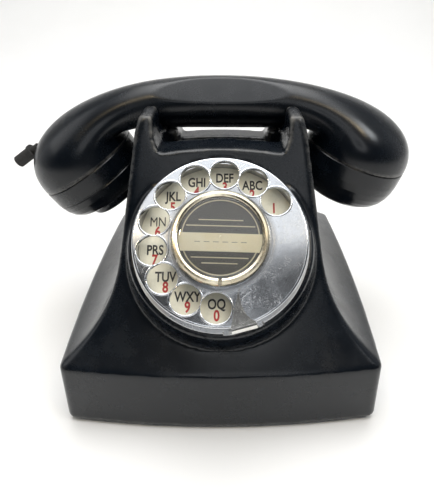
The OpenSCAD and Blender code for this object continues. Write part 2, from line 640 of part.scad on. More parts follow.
// ---- handset ----
module handset_handle() {
    color(bakelite) difference() {
        union() {
            difference() {
                at_handset() stack(handle_rings);
                for (b = [receiver, transmitter]) at_seam(b) translate([0, 0, -11])
                    cylinder(r = 25, h = 12, $fn = 64);
                for (b = [receiver, transmitter]) at_seam(b) translate([0, 0, -15])
                    cylinder(r1 = 14, r2 = 23, h = 5, $fn = 64);
            }
            // lugs that hold the caps
            for (b = [receiver, transmitter], a = [45:90:315]) at_seam(b) rotate([0, 0, a])
                translate([23.8, -3, -7]) cube([2, 6, 1.6]);
        }
        // seat of the cord sleeve
        at_handset() translate([-103.6, 0, -26.5]) rotate([0, -124, 0]) {
            translate([0, 0, -10]) cylinder(r = 2.2, h = 30, $fn = 32);
            translate([0, 0, 1.2]) cylinder(r = 4.1, h = 12, $fn = 48);
        }
    }
}
module handset_cord_sleeve() {
    color([0.08, 0.08, 0.08]) at_handset() translate([-103.6, 0, -26.5]) rotate([0, -124, 0]) difference() {
        union() {
            translate([0, 0, 1.9]) cylinder(r = 3.3, h = 11, $fn = 48);
            translate([0, 0, 1.3]) cylinder(r = 3.9, h = 1.6, $fn = 48);
            translate([0, 0, -3]) cylinder(r = 2.15, h = 6, $fn = 32);
        }
        translate([0, 0, -10]) cylinder(r = 1.5, h = 40, $fn = 32);
    }
}
module receiver_cap() {
    color(bakelite) at_seam(receiver) difference() {
        rotate_extrude($fn = 128) polygon([[23.6, -5.5], [24.7, -5.5], [24.7, 0.25], [28.2, 0.25],
            [28.5, 0.6], [28.6, 8], [28.2, 12], [27.3, 15.6], [25.8, 18.8], [23.6, 21.6],
            [20.4, 23.8], [16, 25], [10, 25.2], [4, 24.4], [0, 24], [0, 21], [16, 21.6],
            [20.6, 19.6], [23.6, 15]]);
        for (a = [0:60:300]) rotate([0, 0, a]) translate([7, 0, 10]) cylinder(r = 1.3, h = 30, $fn = 24);
        translate([0, 0, 10]) cylinder(r = 1.3, h = 30, $fn = 24);
    }
}
module receiver_capsule() {
    color(steel) at_seam(receiver) rotate_extrude($fn = 64) polygon([[0, -9], [16, -9], [19, -7],
        [19, 3], [23, 3], [23, 5.4], [19, 7.4], [8, 9], [0, 9]]);
}
module transmitter_cap() {
    color(bakelite) at_seam(transmitter) rotate_extrude($fn = 128) polygon([[23.6, -5.5],
        [24.7, -5.5], [24.7, 0.25], [28.2, 0.25], [28.5, 0.6], [28.4, 8.6], [27.9, 9], [27.9, 9.5],
        [28.2, 9.9], [27.4, 13.4], [25.8, 16.8], [23.2, 19.4], [20, 20.9], [16, 21.2],
        [16, 18.4], [19, 17.6], [23.6, 14]]);
}
module mouthpiece() {
    color(bakelite) at_seam(transmitter) difference() {
        rotate_extrude($fn = 96) polygon([[0, 19.6], [15.8, 19.6], [15.8, 24.4], [15.2, 25.4],
            [14, 25.8], [12.6, 25.4], [11.8, 23.4], [0, 22.2]]);
        for (a = [0:45:315]) rotate([0, 0, a]) translate([8, 0, 10]) cylinder(r = 1.1, h = 30, $fn = 24);
        for (a = [0:90:270]) rotate([0, 0, a]) translate([3.6, 0, 10]) cylinder(r = 1.1, h = 30, $fn = 24);
    }
}
module transmitter_capsule() {
    color([0.7, 0.66, 0.5]) at_seam(transmitter) rotate_extrude($fn = 64) polygon([[0, -9],
        [15, -9], [19, -6], [19, 4], [23, 4], [23, 6.4], [19, 8.4], [10, 10.4], [0, 11]]);
}

body_shell();
base_plate();
rubber_feet();
foot_screws();
handset_cord_inlet();
line_cord_inlet();
plunger_guides();
plunger_left();
plunger_right();
plunger_springs();
switch_bracket();
switch_lever();
lever_pin();
switch_springset();
bracket_screws();
dial_case();
dial_frame();
number_plate();
finger_stop();
finger_stop_screws();
dial_case_screws();
finger_wheel();
label_disc();
label_strip();
label_cover();
label_ring();
dial_spindle();
main_gear();
main_spring();
worm_wheel();
pulse_cam();
governor_shaft();
governor_weights();
governor_cup();
pulse_springset();
gong_left();
gong_right();
gong_screws();
bell_yoke();
bell_coils();
bell_magnet();
striker_arm();
striker_pin();
induction_coil();
capacitor();
capacitor_clamp();
terminal_block();
terminal_screws();
handset_handle();
receiver_cap();
receiver_capsule();
transmitter_cap();
mouthpiece();
transmitter_capsule();
handset_cord_sleeve();
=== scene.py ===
import math

import bmesh
import bpy
import numpy as np
from mathutils import Matrix, Vector


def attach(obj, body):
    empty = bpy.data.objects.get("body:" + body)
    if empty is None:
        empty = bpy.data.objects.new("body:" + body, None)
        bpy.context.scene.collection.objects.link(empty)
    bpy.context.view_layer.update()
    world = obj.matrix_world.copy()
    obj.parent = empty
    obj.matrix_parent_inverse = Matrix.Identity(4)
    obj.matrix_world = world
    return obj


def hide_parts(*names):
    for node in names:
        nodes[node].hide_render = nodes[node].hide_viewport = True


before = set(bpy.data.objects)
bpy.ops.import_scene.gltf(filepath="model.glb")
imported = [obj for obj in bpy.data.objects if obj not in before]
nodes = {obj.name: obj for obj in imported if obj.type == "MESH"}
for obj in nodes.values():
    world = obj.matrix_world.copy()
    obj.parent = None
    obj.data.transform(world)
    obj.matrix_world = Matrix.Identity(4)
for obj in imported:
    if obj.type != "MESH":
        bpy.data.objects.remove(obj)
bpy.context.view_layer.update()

MM = 0.001


# ---------------------------------------------------------------- camera
# fitted to the rim and holes of the finger wheel and the edges of the plinth
CAMERA_PLACE = Vector((4.547, -213.318, 191.377))
CAMERA_AIM = Vector((0.01200443, 0.83180321, -0.55494082))
CAMERA_ROLL = math.radians(0.4293)


def make_camera():
    data = bpy.data.cameras.new("camera")
    data.lens = 31.54
    data.sensor_width = 36
    data.shift_x = -0.0389
    data.shift_y = 0.0101
    data.clip_start = 0.01
    data.clip_end = 50
    camera = bpy.data.objects.new("camera", data)
    bpy.context.scene.collection.objects.link(camera)
    forward = CAMERA_AIM.normalized()
    right = forward.cross(Vector((0, 0, 1))).normalized()
    up = right.cross(forward)
    right, up = (
        right * math.cos(CAMERA_ROLL) + up * math.sin(CAMERA_ROLL),
        up * math.cos(CAMERA_ROLL) - right * math.sin(CAMERA_ROLL),
    )
    turn = Matrix((right, up, -forward)).transposed().to_4x4()
    camera.matrix_world = Matrix.Translation(CAMERA_PLACE * MM) @ turn
    bpy.context.scene.camera = camera


make_camera()


# ---------------------------------------------------------------- mesh helpers
def link(name, mesh):
    obj = bpy.data.objects.new(name, mesh)
    bpy.context.scene.collection.objects.link(obj)
    return obj


def mesh_from(name, points, faces):
    mesh = bpy.data.meshes.new(name)
    mesh.from_pydata([tuple(p) for p in points], [], faces)
    mesh.validate()
    made = bmesh.new()
    made.from_mesh(mesh)
    bmesh.ops.recalc_face_normals(made, faces=made.faces)
    made.to_mesh(mesh)
    made.free()
    return mesh


def loft(name, rings):
    """A closed skin through rings with the same number of points each, in millimetres."""
    count = len(rings[0])
    points = [Vector(p) * MM for ring in rings for p in ring]
    faces = []
    for i in range(len(rings) - 1):
        for j in range(count):
            a = i * count + j
            b = i * count + (j + 1) % count
            faces.append((a, b, b + count, a + count))
    faces.append(tuple(range(count))[::-1])
    last = (len(rings) - 1) * count
    faces.append(tuple(range(last, last + count)))
    return link(name, mesh_from(name, points, faces))


def prism(name, outline, y0, y1):
    """A flat outline in X and Z, pulled along Y."""
    front = [(x, y0, z) for x, z in outline]
    back = [(x, y1, z) for x, z in outline]
    return loft(name, [front, back])


def block(name, low, high):
    (x0, y0, z0), (x1, y1, z1) = low, high
    return prism(name, [(x0, z0), (x1, z0), (x1, z1), (x0, z1)], y0, y1)


def tube(name, place, radius0, radius1, z0, z1, count=96):
    """A cone or cylinder along the local Z of the matrix place, which is in millimetres."""
    rings = []
    for r, z in ((radius0, z0), (radius1, z1)):
        ring = []
        for i in range(count):
            a = 2 * math.pi * i / count
            ring.append(place @ Vector((r * math.cos(a), r * math.sin(a), z)))
        rings.append(ring)
    return loft(name, rings)


def combine(target, other, operation):
    """target becomes target and other joined, cut or kept in common; other is removed."""
    mod = target.modifiers.new("combine", "BOOLEAN")
    mod.operation = operation
    mod.object = other
    mod.solver = "EXACT"
    apply_modifiers(target)
    bpy.data.objects.remove(other)


def apply_modifiers(obj):
    graph = bpy.context.evaluated_depsgraph_get()
    graph.update()
    mesh = bpy.data.meshes.new_from_object(obj.evaluated_get(graph))
    obj.modifiers.clear()
    old = obj.data
    obj.data = mesh
    bpy.data.meshes.remove(old)


def arrays(mesh):
    points = np.zeros(len(mesh.vertices) * 3, np.float64)
    mesh.vertices.foreach_get("co", points)
    edges = np.zeros(len(mesh.edges) * 2, np.int64)
    mesh.edges.foreach_get("vertices", edges)
    return points.reshape(-1, 3), edges.reshape(-1, 2)


def neighbour_mean(values, edges, count):
    total = np.zeros_like(values)
    number = np.zeros(count)
    for a, b in ((0, 1), (1, 0)):
        np.add.at(total, edges[:, a], values[edges[:, b]])
        np.add.at(number, edges[:, a], 1)
    number = np.maximum(number, 1)
    return total / (number[:, None] if values.ndim == 2 else number)


def relax(mesh, rounds, share=0.5, above=-1.0):
    """Rounds the edges off, as on a moulding, growing over 3 mm from the height above."""
    points, edges = arrays(mesh)
    share = share * np.clip((points[:, 2] - above) / (3 * MM), 0, 1)[:, None]
    for _ in range(rounds):
        moved = neighbour_mean(points, edges, len(points))
        points = points + (moved - points) * share
    mesh.vertices.foreach_set("co", points.astype(np.float32).ravel())
    mesh.update()


def store(mesh, name, values):
    layer = mesh.attributes.get(name) or mesh.attributes.new(name, "FLOAT", "POINT")
    layer.data.foreach_set("value", values.astype(np.float32))


def mark_edges(mesh, worn, full, spread=2):
    """Stores how sharply each point stands out (worn) or lies in a hollow, by curvature."""
    points, edges = arrays(mesh)
    count = len(points)
    normals = np.zeros(count * 3, np.float64)
    mesh.vertices.foreach_get("normal", normals)
    normals = normals.reshape(-1, 3)
    away = neighbour_mean(points, edges, count) - points
    length = np.linalg.norm(points[edges[:, 0]] - points[edges[:, 1]], axis=1)
    step = np.zeros(count)
    number = np.zeros(count)
    for a in (0, 1):
        np.add.at(step, edges[:, a], length)
        np.add.at(number, edges[:, a], 1)
    step = step / np.maximum(number, 1)
    bend = -2 * (away * normals).sum(1) / np.maximum(step, 1e-6) ** 2
    for _ in range(spread):
        bend = 0.5 * bend + 0.5 * neighbour_mean(bend, edges, count)
    store(mesh, "worn", np.clip((bend - worn) / (full - worn), 0, 1))
    store(mesh, "hollow", np.clip((-bend - worn) / (full - worn), 0, 1))


def smooth(obj, angle=None):
    mesh = obj.data
    mesh.polygons.foreach_set("use_smooth", [True] * len(mesh.polygons))
    if angle is not None:
        mesh.set_sharp_from_angle(angle=math.radians(angle))
    mesh.update()


# ---------------------------------------------------------------- the case
PLINTH_TOP = 35.7
LEDGE_Z = 120.2
PRONG_Z = 133.3
PRONG_RELAX_Z = 126.5
LEDGE_X = 41.2
FOOT = 2.0
WALL = 3.2
HALF_WIDTH = 77.0
FRONT_CORNER = -75.0
REAR_CORNER = 77.0
LEDGE_Y = -18.9
REAR_TOP = 46.0
HANDLE_Y = 19.7
HANDLE_Z = 131.5
CASE_H = LEDGE_Z - PLINTH_TOP


def case_size(z):
    """Half width front and rear, front and rear line, the bow of each side, corner cut."""
    t = (z - PLINTH_TOP) / CASE_H
    u = max(0.0, t)
    flare = max(0.0, 1 - 2 * u) ** 2.7
    front_x = LEDGE_X + 13.5 * (1 - u) + (HALF_WIDTH - 1.7 - LEDGE_X - 13.5) * flare
    rear_x = front_x - 3.4 * u
    lean = 0.78 * u + 0.22 * (1 - max(0.0, 1 - u) ** 4)
    front_y = FRONT_CORNER + (LEDGE_Y - FRONT_CORNER) * lean
    rear_y = REAR_TOP + 11 * (1 - u) + (REAR_CORNER - REAR_TOP - 11) * flare
    if z <= PLINTH_TOP:
        k = (PLINTH_TOP - z) / (PLINTH_TOP - FOOT)
        return (front_x + 1.7 * k, front_x + 1.7 * k, front_y - 1.5 * k, rear_y + 1.5 * k, 5, 3, 2.3, 5)
    s = max(0.0, 1 - t)
    side = 2.3 * s**6 - 3.6 * math.sin(math.pi * min(1, t))
    return (front_x, rear_x, front_y, rear_y, 5 * s * s, 3 * s * s, side, 3.2 + 1.8 * s**10)


def case_ring(z, inset, side_steps=22, corner_steps=8):
    m = case_size(z)
    cut = max(1.2, m[7] - inset * 0.5)
    corners = [
        Vector((-m[0] + inset, m[2] + inset)),
        Vector((m[0] - inset, m[2] + inset)),
        Vector((m[1] - inset, m[3] - inset)),
        Vector((-m[1] + inset, m[3] - inset)),
    ]
    bows = [m[4], m[6], m[5], m[6]]

    def along(a, b, bow, s):
        length = (b - a).length
        d = (b - a) / length
        out = Vector((d.y, -d.x))
        return a + d * (cut + s * (length - 2 * cut)) + out * bow * 4 * s * (1 - s)

    ring = []
    for i in range(4):
        a, b, c = corners[i], corners[(i + 1) % 4], corners[(i + 2) % 4]
        p = along(a, b, bows[i], 1)
        q = along(b, c, bows[(i + 1) % 4], 0)
        for j in range(side_steps):
            xy = along(a, b, bows[i], j / side_steps)
            ring.append((xy.x, xy.y, z))
        for j in range(corner_steps):
            u = j / corner_steps
            xy = p * (1 - u) ** 2 + b * 2 * u * (1 - u) + q * u * u
            ring.append((xy.x, xy.y, z))
    return ring


def prong_outline(top, low, crown, low_half, high_half, outer):
    """The front view of a ledge with a prong at each end, on a wide block."""
    half = []

    def crown_z(x):
        return low - 0.06 - crown * (x / 28) ** 2

    foot = Vector((low_half, low - crown - 1))
    knee = Vector((high_half, low + 3.8))
    x = 0.0
    while x < foot.x or crown_z(x) > foot.y + (knee.y - foot.y) * (x - foot.x) / (knee.x - foot.x):
        half.append((x, crown_z(x)))
        x += 0.5
    half.append((knee.x, knee.y))
    for i in range(7):
        a = math.radians(180 - 15 * i)
        half.append((high_half + 1.4 + 1.4 * math.cos(a), top - 1.4 + 1.4 * math.sin(a)))
    for i in range(9):
        a = math.radians(90 - 11.25 * i)
        half.append((outer - 3.2 + 3.2 * math.cos(a), top - 3.2 + 3.2 * math.sin(a)))
    half += [(58, 60), (100, 60), (100, 0)]
    return [(-x, z) for x, z in reversed(half) if x > 0] + half


DIAL = Matrix.Translation((0, -53.9, 93.3)) @ Matrix.Rotation(math.radians(42.5), 4, "X")
CHANNEL_R = 13.1
SEAT_R = 40
BORE_R = 37.4
PLUNGER_X = 26.5
PLUNGER_HOLE_R = 4
CORD_X = 38
CORD_HOLE_R = 5.1
SCREW_X = HALF_WIDTH - 14
SCREW_Y = 81.5 - 16


def turned(x, y, z, axis, degrees):
    return Matrix.Translation((x, y, z)) @ Matrix.Rotation(math.radians(degrees), 4, axis)


def make_case():
    rings = [case_ring(FOOT, 1), case_ring(FOOT + 0.4, 0.3), case_ring(FOOT + 1.2, 0)]
    for i in range(1, 8):
        rings.append(case_ring(FOOT + 1.2 + (PLINTH_TOP - 1.0 - FOOT - 1.2) * i / 8, 0))
    rings += [case_ring(PLINTH_TOP - 0.7, 0), case_ring(PLINTH_TOP - 0.1, 0.1)]
    steps = 44
    for i in range(steps + 1):
        z = PLINTH_TOP + 0.25 + (CASE_H - 0.25) * (i / steps) ** 1.35
        rings.append(case_ring(z, 0.45 if i == 0 else 0))
    rings += [case_ring(LEDGE_Z + 7, 0), case_ring(PRONG_Z + 1, 0)]
    case = loft("case", rings)
    keep = prism("keep", prong_outline(PRONG_Z, LEDGE_Z, 2, 29, 31.2, 38.9), HANDLE_Y - 130, HANDLE_Y)
    rear = prism("rear", prong_outline(PRONG_Z, 108.6, 1.5, 24, 25, 35.2), HANDLE_Y - 0.05, HANDLE_Y + 90)
    combine(keep, rear, "UNION")
    combine(case, keep, "INTERSECT")
    boss = tube("boss", DIAL, 52, 41.6, -49, -9, 128)
    combine(boss, block("room", (-44, -86.5, 38), (44, 3.5, 114)), "INTERSECT")
    combine(case, boss, "UNION")
    inner = [case_ring(FOOT - 1, WALL, 8, 4), case_ring(PLINTH_TOP - 2.5, WALL, 8, 4)]
    for i in range(13):
        inner.append(case_ring(PLINTH_TOP + (96.8 - PLINTH_TOP) * (i / 12) ** 1.3, WALL + 0.4, 8, 4))
    combine(case, loft("inner", inner), "DIFFERENCE")
    for sx in (-1, 1):
        for sy in (-1, 1):
            post = Matrix.Translation((sx * SCREW_X, sy * SCREW_Y, 0))
            combine(case, tube("post", post, 5, 5, FOOT + 3, FOOT + 33, 32), "UNION")
            x0 = SCREW_X if sx > 0 else -SCREW_X - 13.5
            y = sy * SCREW_Y
            rib = block("rib", (x0, y - 1.5, FOOT + 3), (x0 + 13.5, y + 1.5, FOOT + 31))
            combine(case, rib, "UNION")
    channel = turned(-80, HANDLE_Y, HANDLE_Z, "Y", 90)
    combine(case, tube("channel", channel, CHANNEL_R, CHANNEL_R, 0, 160, 96), "DIFFERENCE")
    for side in (-1, 1):
        flare = turned(side * 31.2, HANDLE_Y, HANDLE_Z, "Y", side * 90)
        combine(case, tube("flare", flare, 12.87, 15.5, 0, 16.8, 90), "DIFFERENCE")
    low, high = (-80, HANDLE_Y - CHANNEL_R, HANDLE_Z), (80, HANDLE_Y + CHANNEL_R, HANDLE_Z + 30)
    combine(case, block("slot", low, high), "DIFFERENCE")
    combine(case, block("hand", (-24, -3, 100), (24, 33.5, 140)), "DIFFERENCE")
    combine(case, block("hand", (-29.5, -3, 100), (29.5, 12.5, 140)), "DIFFERENCE")
    # round cuts on one axis have different side counts, or the exact solver fails
    combine(case, tube("seat", DIAL, SEAT_R, SEAT_R, -8.97, 31, 126), "DIFFERENCE")
    combine(case, tube("bore", DIAL, BORE_R, BORE_R, -47.3, -7.3, 118), "DIFFERENCE")
    for x in (-PLUNGER_X, PLUNGER_X):
        hole = Matrix.Translation((x, HANDLE_Y, 0))
        combine(case, tube("hole", hole, PLUNGER_HOLE_R, PLUNGER_HOLE_R, 90, 130, 32), "DIFFERENCE")
    for x in (-CORD_X, CORD_X):
        hole = turned(x, 69.5, 14, "X", -90)
        combine(case, tube("hole", hole, CORD_HOLE_R, CORD_HOLE_R, 0, 30, 48), "DIFFERENCE")
    mod = case.modifiers.new("voxels", "REMESH")
    mod.mode = "VOXEL"
    mod.voxel_size = 1.0 * MM
    mod.use_smooth_shade = True
    apply_modifiers(case)
    relax(case.data, 3)
    relax(case.data, 10, above=PRONG_RELAX_Z * MM)
    case.name = case.data.name = "moulded_case"
    smooth(case)
    mark_edges(case.data, 110, 430)
    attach(case, "telephone_base")
    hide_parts("body_shell")
    return case


# ---------------------------------------------------------------- the handset
BULB_R = 28.42
HANDLE_R = 12.77
NECK_X = 34
ARCH = 0.0021
SEAT_Z = -HANDLE_R
RECEIVER = (74, -26.9, 17.5, 1, 28, 31, 7, 12)
TRANSMITTER = (75.8, -33.5, 31.5, -1, 35, 37, 9, 12)
HANDSET = Matrix.Translation((0, HANDLE_Y, HANDLE_Z)) @ Matrix.Rotation(math.radians(3.2), 4, "X")
AROUND = 128


def bezier(p0, p1, p2, p3, t):
    s = 1 - t
    return s**3 * p0 + 3 * s * s * t * p1 + 3 * s * t * t * p2 + t**3 * p3


def oval(cx, cz, dx, dz, width, side=1):
    ring = []
    for j in range(AROUND):
        a = 2 * math.pi * j / AROUND
        x = cx + dx * math.cos(a)
        ring.append(Vector((side * x, width * math.sin(a), cz + dz * math.cos(a))))
    return ring


def bulb_ring(bulb, t):
    lean = math.radians(bulb[2])
    out = Vector((math.cos(lean), -math.sin(lean)))
    up = Vector((math.sin(lean), math.cos(lean)))
    seam = Vector((bulb[0], bulb[1]))
    top = Vector((NECK_X, HANDLE_R - ARCH * NECK_X**2))
    low = Vector((NECK_X, SEAT_Z))
    slope = Vector((1, -2 * ARCH * NECK_X))
    p = bezier(seam + BULB_R * out, seam + BULB_R * out + up * bulb[4], top + slope * bulb[5], top, t)
    q = bezier(seam - BULB_R * out, seam - BULB_R * out + up * bulb[6], low + Vector((bulb[7], 0)), low, t)
    width = HANDLE_R + (BULB_R - HANDLE_R) * (0.5 + 0.5 * math.cos(math.pi * t))
    c, d = (p + q) / 2, (p - q) / 2
    return oval(c.x, c.y, d.x, d.y, width, bulb[3])


def neck_ring(x):
    top = HANDLE_R - ARCH * x * x
    ring = []
    for j in range(AROUND):
        a = 2 * math.pi * j / AROUND
        z = (top + SEAT_Z) / 2 + (top - SEAT_Z) / 2 * math.cos(a)
        ring.append(Vector((x, HANDLE_R * math.sin(a), z)))
    return ring


def mouth_rings(bulb):
    """The rim and the hollow of a bulb, from the floor of the hollow outwards."""
    lean = math.radians(bulb[2])
    out = Vector((math.cos(lean), -math.sin(lean)))
    up = Vector((math.sin(lean), math.cos(lean)))
    rings = []
    for radius, depth in ((8, 11), (24.6, 11), (25, 10.6), (25, 0.4), (25.4, 0), (28.1, 0)):
        c = Vector((bulb[0], bulb[1])) + up * depth
        ring = []
        for j in range(AROUND):
            a = 2 * math.pi * j / AROUND
            x = c.x + out.x * radius * math.cos(a)
            z = c.y + out.y * radius * math.cos(a)
            ring.append(Vector((bulb[3] * x, radius * math.sin(a), z)))
        rings.append(ring)
    return rings


def flatten(p):
    """The long flats along the top edges of the handle."""
    if abs(p.x) < 45:
        for side in (-1, 1):
            lean = math.radians(47.5)
            n = Vector((0, side * math.cos(lean), math.sin(lean)))
            over = p.dot(n) - (HANDLE_R - 2.06 + 0.0005 * p.x**2)
            if over > 0:
                p = p - n * over
    return p


def make_handset():
    rings = mouth_rings(TRANSMITTER)
    rings += [bulb_ring(TRANSMITTER, 0.012 + 0.988 * i / 40) for i in range(41)]
    rings += [neck_ring(-NECK_X + 2 * i) for i in range(1, NECK_X)]
    rings += [bulb_ring(RECEIVER, 0.012 + 0.988 * i / 40) for i in range(40, -1, -1)]
    rings += mouth_rings(RECEIVER)[::-1]
    rings = [[HANDSET @ flatten(p) for p in ring] for ring in rings]
    handle = loft("moulded_handle", rings)
    smooth(handle, 50)
    mark_edges(handle.data, 60, 400, 1)
    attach(handle, "handset")
    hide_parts("handset_handle")
    return handle


# ---------------------------------------------------------------- dial lettering
PRINT_RING = 29.3
PRINT_Z = -7.33
FIRST_HOLE = 35.4
HOLE_STEP = 25.7
LETTER_SIZE = 6.2
DIGIT_SIZE = 6.5
INK = 0.03
LABEL_Z = 2.77
STRIP_Z = 3.05


def print_text(body, size, stretch, place, weight=0.0):
    """Raised print 0.04 mm thick, as points in millimetres and faces."""
    curve = bpy.data.curves.new("print", "FONT")
    curve.body = body
    curve.size = size
    curve.align_x = "CENTER"
    curve.align_y = "CENTER"
    curve.offset = weight
    curve.extrude = 0.02
    curve.resolution_u = 4
    obj = bpy.data.objects.new("print", curve)
    bpy.context.scene.collection.objects.link(obj)
    graph = bpy.context.evaluated_depsgraph_get()
    graph.update()
    mesh = bpy.data.meshes.new_from_object(obj.evaluated_get(graph))
    bpy.data.objects.remove(obj)
    bpy.data.curves.remove(curve)
    xs = [v.co.x for v in mesh.vertices]
    ys = [v.co.y for v in mesh.vertices]
    middle = Vector(((min(xs) + max(xs)) / 2, (min(ys) + max(ys)) / 2, 0))
    points = []
    for v in mesh.vertices:
        p = v.co - middle
        points.append(place @ Vector((p.x * stretch, p.y, p.z)))
    faces = [tuple(f.vertices) for f in mesh.polygons]
    bpy.data.meshes.remove(mesh)
    return points, faces


def gather(name, parts, body):
    made = bmesh.new()
    for points, faces in parts:
        verts = [made.verts.new(Vector(p) * MM) for p in points]
        for f in faces:
            try:
                made.faces.new([verts[i] for i in f])
            except ValueError:
                pass
    bmesh.ops.remove_doubles(made, verts=made.verts, dist=0.0000005)
    bmesh.ops.recalc_face_normals(made, faces=made.faces)
    mesh = bpy.data.meshes.new(name)
    made.to_mesh(mesh)
    made.free()
    obj = link(name, mesh)
    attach(obj, body)
    return obj


def make_lettering():
    letters = ["", "ABC", "DEF", "GHI", "JKL", "MN", "PRS", "TUV", "WXY", "OQ"]
    dark, red = [], []
    for i, group in enumerate(letters):
        a = math.radians(FIRST_HOLE + HOLE_STEP * i)
        x, y = PRINT_RING * math.cos(a), PRINT_RING * math.sin(a)
        if group:
            place = DIAL @ Matrix.Translation((x, y + 1.9, PRINT_Z))
            # the font's M closes up when it is made bolder
            weight = 0.0 if group == "MN" else 0.15
            dark.append(print_text(group, LETTER_SIZE, 0.77, place, weight))
        place = DIAL @ Matrix.Translation((x, y - (2.6 if group else 0.4), PRINT_Z))
        red.append(print_text(str((i + 1) % 10), DIGIT_SIZE, 0.78, place, 0.2))
    black = gather("dial_letters", dark, "telephone_base")
    digits = gather("dial_digits", red, "telephone_base")
    return black, digits


def make_rules():
    """A thin printed ring and four rules on the disc, and pencil dashes on the strip."""
    parts = []
    count = 96
    points, faces = [], []
    inner, outer, under = 16.1, 16.65, LABEL_Z - INK
    for r, z in ((inner, LABEL_Z), (outer, LABEL_Z), (outer, under), (inner, under)):
        for i in range(count):
            a = 2 * math.pi * i / count
            points.append(DIAL @ Vector((r * math.cos(a), r * math.sin(a), z)))
    for k in range(4):
        for i in range(count):
            a, b = k * count + i, k * count + (i + 1) % count
            c, d = (k + 1) % 4 * count + (i + 1) % count, (k + 1) % 4 * count + i
            faces.append((a, b, c, d))
    parts.append((points, faces))
    tilt = DIAL @ Matrix.Rotation(math.radians(-1.7), 4, "Z")

    def bar(x0, x1, y0, y1, z):
        corners = [(x, y, h) for h in (z - INK, z) for y in (y0, y1) for x in (x0, x1)]
        sides = [(0, 2, 3, 1), (4, 5, 7, 6), (0, 1, 5, 4), (2, 6, 7, 3), (0, 4, 6, 2), (1, 3, 7, 5)]
        return [tilt @ Vector(c) for c in corners], sides

    for y, half in ((4.6, 14.6), (7.2, 9.5), (-9.2, 12.0), (-11.6, 7.5)):
        parts.append(bar(-half, half, y, y + 0.5, LABEL_Z))
    rules = gather("dial_label_rules", parts, "dial_wheel")
    dashes = []
    for i in range(6):
        x = -10.8 + 3.9 * i
        dashes.append(bar(x, x + 2.4, -2.4, -2.15, STRIP_Z))
    return rules, gather("dial_label_dashes", dashes, "dial_wheel")


